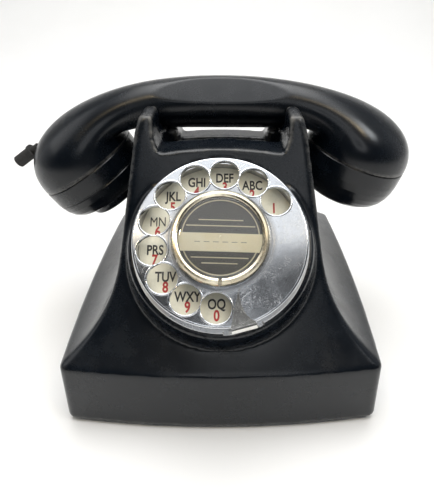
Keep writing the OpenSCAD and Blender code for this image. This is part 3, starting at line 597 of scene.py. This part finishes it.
# ---------------------------------------------------------------- materials
class Surface:
    """Builds one node material; every helper returns an output socket."""

    def __init__(self, name):
        self.material = bpy.data.materials.new(name)
        self.material.use_nodes = True
        self.tree = self.material.node_tree
        self.tree.nodes.clear()
        self.out = self.tree.nodes.new("ShaderNodeOutputMaterial")
        self.shader = self.tree.nodes.new("ShaderNodeBsdfPrincipled")
        self.tree.links.new(self.shader.outputs[0], self.out.inputs[0])
        coords = self.tree.nodes.new("ShaderNodeTexCoord")
        self.coords = coords.outputs["Object"]

    def put(self, socket, value):
        if isinstance(value, bpy.types.NodeSocket):
            self.tree.links.new(value, socket)
        else:
            socket.default_value = value

    def set(self, **values):
        for key, value in values.items():
            self.put(self.shader.inputs[key.replace("_", " ")], value)
        return self

    def noise(self, per_mm, detail=4, rough=0.55, coords=None):
        n = self.tree.nodes.new("ShaderNodeTexNoise")
        self.put(n.inputs["Vector"], coords or self.coords)
        n.inputs["Scale"].default_value = per_mm * 1000
        n.inputs["Detail"].default_value = detail
        n.inputs["Roughness"].default_value = rough
        return n.outputs["Fac"]

    def span(self, value, low, high, to_low=0.0, to_high=1.0):
        n = self.tree.nodes.new("ShaderNodeMapRange")
        n.interpolation_type = "SMOOTHSTEP"
        self.put(n.inputs["Value"], value)
        n.inputs["From Min"].default_value = low
        n.inputs["From Max"].default_value = high
        n.inputs["To Min"].default_value = to_low
        n.inputs["To Max"].default_value = to_high
        return n.outputs["Result"]

    def sum(self, a, b, operation="ADD"):
        n = self.tree.nodes.new("ShaderNodeMath")
        n.operation = operation
        self.put(n.inputs[0], a)
        self.put(n.inputs[1], b)
        return n.outputs[0]

    def times(self, a, b):
        return self.sum(a, b, "MULTIPLY")

    def blend(self, share, a, b):
        n = self.tree.nodes.new("ShaderNodeMix")
        n.data_type = "RGBA"
        self.put(n.inputs[0], share)
        for socket, value in ((n.inputs[6], a), (n.inputs[7], b)):
            if isinstance(value, bpy.types.NodeSocket):
                self.put(socket, value)
            else:
                socket.default_value = (*value, 1)
        return n.outputs[2]

    def attribute(self, name):
        n = self.tree.nodes.new("ShaderNodeAttribute")
        n.attribute_name = name
        return n.outputs["Fac"]

    def edges(self, radius_mm=0.35):
        """About 0 on a flat or gentle surface, and more at a sharp edge."""
        bevel = self.tree.nodes.new("ShaderNodeBevel")
        bevel.samples = 4
        bevel.inputs["Radius"].default_value = radius_mm * MM
        geometry = self.tree.nodes.new("ShaderNodeNewGeometry")
        n = self.tree.nodes.new("ShaderNodeVectorMath")
        n.operation = "DOT_PRODUCT"
        self.put(n.inputs[0], bevel.outputs[0])
        self.put(n.inputs[1], geometry.outputs["Normal"])
        return self.span(n.outputs["Value"], 0.995, 0.86)

    def local(self, place):
        """Coordinates in the frame of a matrix in millimetres, still in metres."""
        n = self.tree.nodes.new("ShaderNodeMapping")
        n.vector_type = "TEXTURE"
        self.put(n.inputs["Vector"], self.coords)
        n.inputs["Location"].default_value = place.translation * MM
        n.inputs["Rotation"].default_value = place.to_euler()
        return n.outputs[0]

    def scratches(self, density=0.7, length=40.0, fine=1.0, turns=None, coords=None):
        """Thin short lines in several directions."""
        total = None
        turns = turns or ((12, 8, 31), (70, 15, -22), (-38, 62, 11), (25, -50, 80))
        for i, turn in enumerate(turns):
            place = self.tree.nodes.new("ShaderNodeMapping")
            place.vector_type = "TEXTURE"
            self.put(place.inputs["Vector"], coords or self.coords)
            place.inputs["Location"].default_value = (0.013 * i, 0.007 * i, 0.011 * i)
            place.inputs["Rotation"].default_value = [math.radians(a) for a in turn]
            place.inputs["Scale"].default_value = (1, 1 / length, 1 / length)
            line = self.noise(0.07 * fine * (1 + 0.17 * i), 2, 0.5, place.outputs[0])
            line = self.span(line, density, density + 0.05)
            total = line if total is None else self.sum(total, line, "MAXIMUM")
        return total

    def bump(self, height, distance_mm, strength=1.0, under=None):
        n = self.tree.nodes.new("ShaderNodeBump")
        n.inputs["Strength"].default_value = strength
        n.inputs["Distance"].default_value = distance_mm * MM
        self.put(n.inputs["Height"], height)
        if under is not None:
            self.put(n.inputs["Normal"], under)
        return n.outputs[0]


def bakelite(name, own_mesh):
    s = Surface(name)
    cloud = s.noise(0.05, 5, 0.6)
    fine = s.noise(1.4, 5, 0.65)
    lines = s.scratches(0.73, 60, 1.1)
    base = s.blend(s.span(cloud, 0.35, 0.7), (0.0014, 0.0032, 0.0062), (0.0036, 0.0062, 0.0100))
    dusty = s.span(s.noise(0.06, 6, 0.6), 0.5, 0.85, 0, 0.5)
    speck = s.span(s.noise(2.3, 2, 0.5), 0.68, 0.76)
    base = s.blend(s.times(dusty, 0.22), base, (0.036, 0.031, 0.024))
    base = s.blend(s.times(s.times(speck, dusty), 0.6), base, (0.10, 0.085, 0.06))
    base = s.blend(s.times(lines, 0.08), base, (0.10, 0.095, 0.085))
    patchy = s.span(s.noise(0.22, 5, 0.65), 0.34, 0.62, 0.1, 1)
    if own_mesh:
        worn = s.attribute("worn")
        split = s.tree.nodes.new("ShaderNodeSeparateXYZ")
        s.put(split.inputs[0], s.coords)
        worn = s.times(worn, s.span(split.outputs[2], 0.05, 0.115, 0.12, 1))
        worn = s.times(worn, s.span(dial_radius(s), 0.0426, 0.0436))
        base = s.blend(s.times(s.attribute("hollow"), 0.35), base, (0.030, 0.027, 0.022))
    else:
        worn = s.times(s.edges(0.4), 0.35)
    worn = s.times(worn, patchy)
    base = s.blend(s.times(worn, 0.9), base, (0.25, 0.24, 0.22))
    rough = s.span(cloud, 0.3, 0.75, 0.20, 0.28)
    rough = s.sum(rough, s.times(s.span(fine, 0.3, 0.7), 0.04))
    rough = s.sum(rough, s.times(lines, 0.10))
    rough = s.sum(rough, s.times(worn, 0.25))
    rough = s.sum(rough, s.times(dusty, 0.14))
    normal = s.bump(s.noise(0.05, 3, 0.5), 0.25, 0.25)
    normal = s.bump(fine, 0.012, 0.3, normal)
    normal = s.bump(s.times(lines, -1), 0.01, 0.3, normal)
    s.set(Base_Color=base, Roughness=rough, Normal=normal, IOR=1.46)
    return s.material


def dial_radius(s):
    """Distance from the dial's axis in metres."""
    centre = DIAL.translation * MM
    normal = DIAL.to_3x3() @ Vector((0, 0, 1))
    a = s.tree.nodes.new("ShaderNodeVectorMath")
    a.operation = "SUBTRACT"
    s.put(a.inputs[0], s.coords)
    a.inputs[1].default_value = centre
    b = s.tree.nodes.new("ShaderNodeVectorMath")
    b.operation = "CROSS_PRODUCT"
    s.put(b.inputs[0], a.outputs[0])
    b.inputs[1].default_value = normal
    c = s.tree.nodes.new("ShaderNodeVectorMath")
    c.operation = "LENGTH"
    s.put(c.inputs[0], b.outputs[0])
    return c.outputs["Value"]


def metal(name, colour, dull, rough=(0.16, 0.36), lines=0.68, dirt=0.35, edge=0.5, radial=False):
    """Bare or plated metal: clouded tarnish, dirt, short scratches and a painted highlight on sharp edges.
    """
    s = Surface(name)
    cloud = s.noise(0.07, 6, 0.65)
    spots = s.noise(0.55, 5, 0.6)
    if radial:
        flat = s.local(DIAL)
        turns = [(0, 0, a) for a in (8, 37, 71, 102, 128, 163)]
        marks = s.scratches(lines, 14, 6.0, turns, flat)
        marks = s.sum(marks, s.scratches(lines + 0.01, 40, 1.2, turns[1::2], flat), "MAXIMUM")
        marks = s.times(marks, s.span(s.noise(0.12, 3, 0.5), 0.35, 0.65, 0.1, 0.8))
    else:
        marks = s.scratches(lines, 50, 1.5)
    base = s.blend(s.span(cloud, 0.35, 0.75, 0, 0.6), colour, dull)
    stain = s.times(s.span(spots, 0.55, 0.8), dirt)
    if radial:
        r = dial_radius(s)
        ring = s.times(s.span(r, 0.0250, 0.0222), s.span(spots, 0.2, 0.75, 0.5, 1))
        stain = s.sum(stain, s.times(ring, 0.6), "MAXIMUM")
        base = s.blend(s.times(marks, 0.2), base, (0.9, 0.9, 0.88))
    base = s.blend(stain, base, tuple(c * 0.32 for c in dull))
    # painted highlight: the colour is lightened along sharp edges, edge sets how much
    painted_edge_highlight = s.times(s.edges(0.3), edge)
    base = s.blend(painted_edge_highlight, base, tuple(min(1, c * 1.35) for c in colour))
    level = s.span(cloud, 0.3, 0.75, rough[0], rough[1])
    level = s.sum(level, s.times(stain, 0.35))
    level = s.sum(level, s.times(marks, 0.22))
    normal = s.bump(s.noise(0.12, 4, 0.6), 0.06, 0.2)
    normal = s.bump(s.times(marks, -1), 0.004, 0.25, normal)
    s.set(Base_Color=base, Metallic=1.0, Roughness=level, Normal=normal)
    if radial:
        out = s.tree.nodes.new("ShaderNodeVectorMath")
        out.operation = "SUBTRACT"
        s.put(out.inputs[0], s.coords)
        out.inputs[1].default_value = DIAL.translation * MM
        s.set(Anisotropic=0.6, Tangent=out.outputs[0])
    return s.material


def plain(name, colour, other, rough=(0.4, 0.6), grain=0.6, depth=0.04, wear=0.3, worn=(0.3, 0.29, 0.27)):
    """Paint, rubber, moulded plastic, card: two tones, grain, dust and edge wear."""
    s = Surface(name)
    cloud = s.noise(0.06, 5, 0.6)
    fine = s.noise(grain, 5, 0.65)
    base = s.blend(s.span(cloud, 0.3, 0.7), colour, other)
    base = s.blend(s.span(fine, 0.6, 0.85, 0, 0.25), base, tuple(c * 0.5 for c in colour))
    base = s.blend(s.times(s.edges(0.35), wear), base, worn)
    marks = s.scratches(0.71, 30, 1.2)
    level = s.sum(s.span(fine, 0.3, 0.7, rough[0], rough[1]), s.times(marks, 0.1))
    normal = s.bump(fine, depth, 0.5)
    s.set(Base_Color=base, Roughness=level, Normal=normal)
    return s.material


def winding(name, colour, other, pitch_mm, axis):
    """Enamelled wire or tape wound round a former, along the given axis of the frame, with painted shade
    between the turns.
    """
    s = Surface(name)
    n = s.tree.nodes.new("ShaderNodeTexWave")
    n.wave_type = "BANDS"
    n.bands_direction = axis
    s.put(n.inputs["Vector"], s.coords)
    # close to one band for each turn of the winding
    n.inputs["Scale"].default_value = 1000 / pitch_mm / 6.2832 * 2
    n.inputs["Distortion"].default_value = 0.4
    wave = n.outputs["Fac"]
    cloud = s.noise(0.2, 4, 0.6)
    base = s.blend(s.span(cloud, 0.3, 0.7), colour, other)
    # painted shade: the colour darkens in the grooves between turns
    base = s.blend(s.span(wave, 0.0, 0.5, 0.6, 0), base, tuple(c * 0.3 for c in colour))
    normal = s.bump(wave, 0.12, 0.8)
    s.set(Base_Color=base, Roughness=s.span(cloud, 0.3, 0.7, 0.3, 0.5), Normal=normal)
    return s.material


def clear_cover():
    s = Surface("clear_cover")
    fine = s.noise(0.5, 4, 0.6)
    marks = s.scratches(0.7, 30, 1.6)
    s.set(
        Base_Color=(0.97, 0.96, 0.92, 1),
        Transmission_Weight=1.0,
        IOR=1.47,
        Roughness=s.sum(s.span(fine, 0.4, 0.8, 0.02, 0.10), s.times(marks, 0.2)),
        Normal=s.bump(s.noise(0.05, 2, 0.5), 0.08, 0.15),
    )
    return s.material


def dress(objects, material):
    for o in objects:
        o.data.materials.clear()
        o.data.materials.append(material)


def make_materials(case, handle, letters, digits):
    dress([case, handle], bakelite("bakelite_moulding", True))
    caps = [nodes[n] for n in ("receiver_cap", "transmitter_cap", "mouthpiece")]
    dress(caps, bakelite("bakelite_cap", False))
    # the number after the dirt level given to metal is the strength of its painted edge highlight, 0.5
    # unless given
    steel = metal("steel", (0.56, 0.57, 0.59), (0.36, 0.35, 0.34), (0.25, 0.45))
    light, dark = (0.66, 0.68, 0.71), (0.46, 0.48, 0.52)
    nickel = metal("nickel_wheel", light, dark, (0.10, 0.17), 0.65, 0.25, 0.9, True)
    light, dark = (0.74, 0.73, 0.70), (0.60, 0.59, 0.57)
    stop = metal("nickel_stop", light, dark, (0.10, 0.2), 0.68, 0.12, 1.0)
    brass = metal("brass", (0.62, 0.47, 0.22), (0.36, 0.26, 0.13), (0.25, 0.45))
    ring = metal("ring_brass", (0.72, 0.66, 0.52), (0.42, 0.36, 0.25), (0.14, 0.3), 0.66, 0.5, 0.8)
    gong = metal("gong_brass", (0.66, 0.49, 0.20), (0.40, 0.28, 0.12), (0.16, 0.34))
    iron = metal("iron", (0.30, 0.30, 0.31), (0.16, 0.14, 0.13), (0.4, 0.6))
    grey = metal("aluminium", (0.70, 0.70, 0.70), (0.48, 0.48, 0.47), (0.28, 0.46))
    blue = metal("spring_blue", (0.16, 0.19, 0.30), (0.10, 0.11, 0.15), (0.25, 0.4))
    light, dark = (0.020, 0.020, 0.020), (0.035, 0.033, 0.031)
    rubber = plain("rubber", light, dark, (0.6, 0.85), 1.2, 0.06, 0.3, (0.08, 0.08, 0.075))
    base = plain("base_enamel", (0.045, 0.043, 0.040), (0.075, 0.070, 0.062), (0.3, 0.5), 0.8, 0.05, 0.6)
    light, dark = (0.92, 0.88, 0.72), (0.84, 0.80, 0.64)
    ivory = plain("ivory_enamel", light, dark, (0.22, 0.38), 0.5, 0.01, 0.2, (0.4, 0.35, 0.25))
    light, dark = (0.93, 0.85, 0.62), (0.97, 0.92, 0.76)
    paper = plain("label_paper", light, dark, (0.7, 0.9), 1.5, 0.02, 0.1, (0.5, 0.4, 0.25))
    light, dark = (0.075, 0.075, 0.080), (0.095, 0.092, 0.092)
    label = plain("label_grey", light, dark, (0.5, 0.7), 2.0, 0.01, 0.1, (0.2, 0.2, 0.2))
    fibre = plain("fibre_red", (0.22, 0.05, 0.03), (0.30, 0.08, 0.05), (0.5, 0.7))
    light, dark = (0.20, 0.02, 0.02), (0.30, 0.04, 0.03)
    magnet = plain("magnet_red", light, dark, (0.4, 0.6), 0.8, 0.05, 0.7, (0.35, 0.33, 0.3))
    black = plain("block_black", (0.018, 0.018, 0.018), (0.030, 0.028, 0.027), (0.3, 0.5))
    light, dark = (0.20, 0.20, 0.20), (0.28, 0.28, 0.27)
    plunger = plain("plunger_grey", light, dark, (0.25, 0.4), 0.6, 0.02, 0.6, (0.25, 0.2, 0.15))
    coil = winding("coil_red", (0.28, 0.07, 0.03), (0.20, 0.04, 0.02), 0.35, "Z")
    wax = winding("coil_wax", (0.42, 0.28, 0.10), (0.32, 0.20, 0.08), 0.5, "X")
    light, dark = (0.42, 0.42, 0.39), (0.34, 0.34, 0.31)
    can = plain("can_grey", light, dark, (0.4, 0.55), 0.7, 0.03, 0.5, (0.6, 0.6, 0.58))
    ink = plain("ink_black", (0.012, 0.012, 0.012), (0.025, 0.022, 0.02), (0.3, 0.5))
    red = plain("ink_red", (0.50, 0.022, 0.018), (0.42, 0.02, 0.018), (0.3, 0.5))
    table = {
        steel: "foot_screws plunger_springs switch_bracket lever_pin bracket_screws dial_case "
        "finger_stop_screws dial_case_screws dial_spindle governor_shaft governor_cup "
        "gong_screws striker_arm striker_pin capacitor_clamp receiver_capsule",
        nickel: "finger_wheel",
        stop: "finger_stop",
        iron: "bell_yoke plunger_guides",
        brass: "switch_lever switch_springset dial_frame main_gear worm_wheel "
        "governor_weights pulse_springset terminal_screws",
        ring: "label_ring",
        gong: "gong_left gong_right",
        grey: "transmitter_capsule",
        blue: "main_spring",
        rubber: "rubber_feet handset_cord_inlet line_cord_inlet handset_cord_sleeve",
        base: "base_plate",
        ivory: "number_plate",
        paper: "label_strip",
        label: "label_disc",
        fibre: "pulse_cam",
        magnet: "bell_magnet",
        black: "terminal_block",
        plunger: "plunger_left plunger_right",
        coil: "bell_coils",
        wax: "induction_coil",
        can: "capacitor",
    }
    for material, names in table.items():
        dress([nodes[n] for n in names.split()], material)
    dress([nodes["label_cover"]], clear_cover())
    dress([letters], ink)
    dress([digits], red)
    rules, dashes = make_rules()
    dress([rules], plain("ink_cream", (0.78, 0.73, 0.55), (0.66, 0.61, 0.45), (0.4, 0.6)))
    dress([dashes], plain("pencil", (0.22, 0.20, 0.16), (0.30, 0.27, 0.20), (0.4, 0.6)))


# ---------------------------------------------------------------- soften CAD edges
def soften():
    """CAD nodes keep their meshes; the modifiers weld some and round their edges."""
    widths = {
        "switch_bracket": 0.3,
        "bell_yoke": 0.5,
        "bell_magnet": 0.6,
        "terminal_block": 0.4,
        "capacitor": 0.8,
        "base_plate": 0.3,
        "switch_springset": 0.2,
        "induction_coil": 0.3,
    }
    for name in [*widths, "label_cover", "mouthpiece", "transmitter_capsule"]:
        obj = nodes[name]
        weld = obj.modifiers.new("weld", "WELD")
        weld.merge_threshold = 0.000004
        if name not in widths:
            continue
        flat = obj.modifiers.new("flat", "DECIMATE")
        flat.decimate_type = "DISSOLVE"
        flat.angle_limit = math.radians(0.5)
        bevel = obj.modifiers.new("bevel", "BEVEL")
        bevel.width = widths[name] * MM
        bevel.segments = 2
        bevel.limit_method = "ANGLE"
        bevel.angle_limit = math.radians(40)
        bevel.use_clamp_overlap = True


# ---------------------------------------------------------------- floor and light
def make_stage():
    rings = []
    profile = [(-2.2, 0.0), (0.7, 0.0)]
    for i in range(1, 17):
        a = math.pi / 2 * i / 16
        profile.append((0.7 + 0.6 * math.sin(a), 0.6 - 0.6 * math.cos(a)))
    profile.append((1.3, 3.0))
    points = []
    for y, z in profile:
        points += [(-3, y, z), (3, y, z)]
    faces = [(2 * i, 2 * i + 1, 2 * i + 3, 2 * i + 2) for i in range(len(profile) - 1)]
    floor = link("floor", mesh_from("floor", points, faces))
    smooth(floor)
    s = Surface("floor_white")
    tone = s.span(s.noise(0.004, 4, 0.6), 0.3, 0.7)
    s.set(Base_Color=s.blend(tone, (0.86, 0.855, 0.84), (0.88, 0.875, 0.865)), Roughness=0.6)
    dress([floor], s.material)


def area_light(name, place, aim, size, watts, colour=(1, 1, 1)):
    data = bpy.data.lights.new(name, "AREA")
    data.shape = "SQUARE"
    data.size = size
    data.energy = watts
    data.color = colour
    obj = bpy.data.objects.new(name, data)
    bpy.context.scene.collection.objects.link(obj)
    obj.location = place
    obj.rotation_mode = "QUATERNION"
    obj.rotation_quaternion = (Vector(aim) - Vector(place)).to_track_quat("-Z", "Y")


LAMP_RING = (0.05, -0.80, 0.60)
FRONT = (0, -1, 0.25)
WINDOW_COLOUR = (0.93, 0.97, 1.0)
LAMP_COLOUR = (1.0, 0.80, 0.5)


def make_light():
    world = bpy.data.worlds.new("studio")
    bpy.context.scene.world = world
    world.use_nodes = True
    tree = world.node_tree
    tree.nodes.clear()
    out = tree.nodes.new("ShaderNodeOutputWorld")
    back = tree.nodes.new("ShaderNodeBackground")
    coords = tree.nodes.new("ShaderNodeTexCoord")

    def cap(towards, inner, outer, within, beyond):
        """One value within the angle inner of a direction, another beyond the angle outer."""
        dot = tree.nodes.new("ShaderNodeVectorMath")
        dot.operation = "DOT_PRODUCT"
        tree.links.new(coords.outputs["Generated"], dot.inputs[0])
        dot.inputs[1].default_value = Vector(towards).normalized()
        span = tree.nodes.new("ShaderNodeMapRange")
        span.interpolation_type = "SMOOTHSTEP"
        tree.links.new(dot.outputs["Value"], span.inputs["Value"])
        span.inputs["From Min"].default_value = math.cos(math.radians(outer))
        span.inputs["From Max"].default_value = math.cos(math.radians(inner))
        span.inputs["To Min"].default_value = beyond
        span.inputs["To Max"].default_value = within
        return span.outputs["Result"]

    def join(a, b, operation):
        n = tree.nodes.new("ShaderNodeMath")
        n.operation = operation
        tree.links.new(a, n.inputs[0])
        tree.links.new(b, n.inputs[1])
        return n.outputs[0]

    # a room that is dim in front and pale behind, a bright ring and a bright ceiling
    room = cap(FRONT, 50, 110, 0.05, 0.55)
    ring = cap(LAMP_RING, 10, 15, 2.4, 0.0)
    hole = cap(LAMP_RING, 5, 9, 0.1, 1.0)
    ceiling = cap((0, 0, 1), 27, 31, 1.2, 0.0)
    total = join(join(room, join(ring, hole, "MULTIPLY"), "ADD"), ceiling, "ADD")
    tree.links.new(total, back.inputs["Strength"])
    back.inputs["Color"].default_value = (0.96, 0.98, 1.0, 1)
    tree.links.new(back.outputs[0], out.inputs[0])
    area_light("overhead", (0.0, 0.35, 1.5), (0, 0, 0), 1.3, 19)
    area_light("right_window", (0.75, -0.35, 1.15), (0, -0.05, 0.08), 0.3, 3.0, WINDOW_COLOUR)
    area_light("left_fill", (-0.95, 0.0, 0.8), (0, 0, 0.08), 0.6, 1.2)
    area_light("lamp_left", (-0.35, -0.42, 0.95), (-0.07, 0, 0.12), 0.05, 0.7, LAMP_COLOUR)
    area_light("lamp_right", (0.42, -0.40, 0.95), (0.07, 0, 0.12), 0.05, 0.7, LAMP_COLOUR)
    view = bpy.context.scene.view_settings
    view.view_transform = "Standard"
    view.look = "None"


case = make_case()
handle = make_handset()
letters, digits = make_lettering()
make_materials(case, handle, letters, digits)
soften()
make_stage()
make_light()
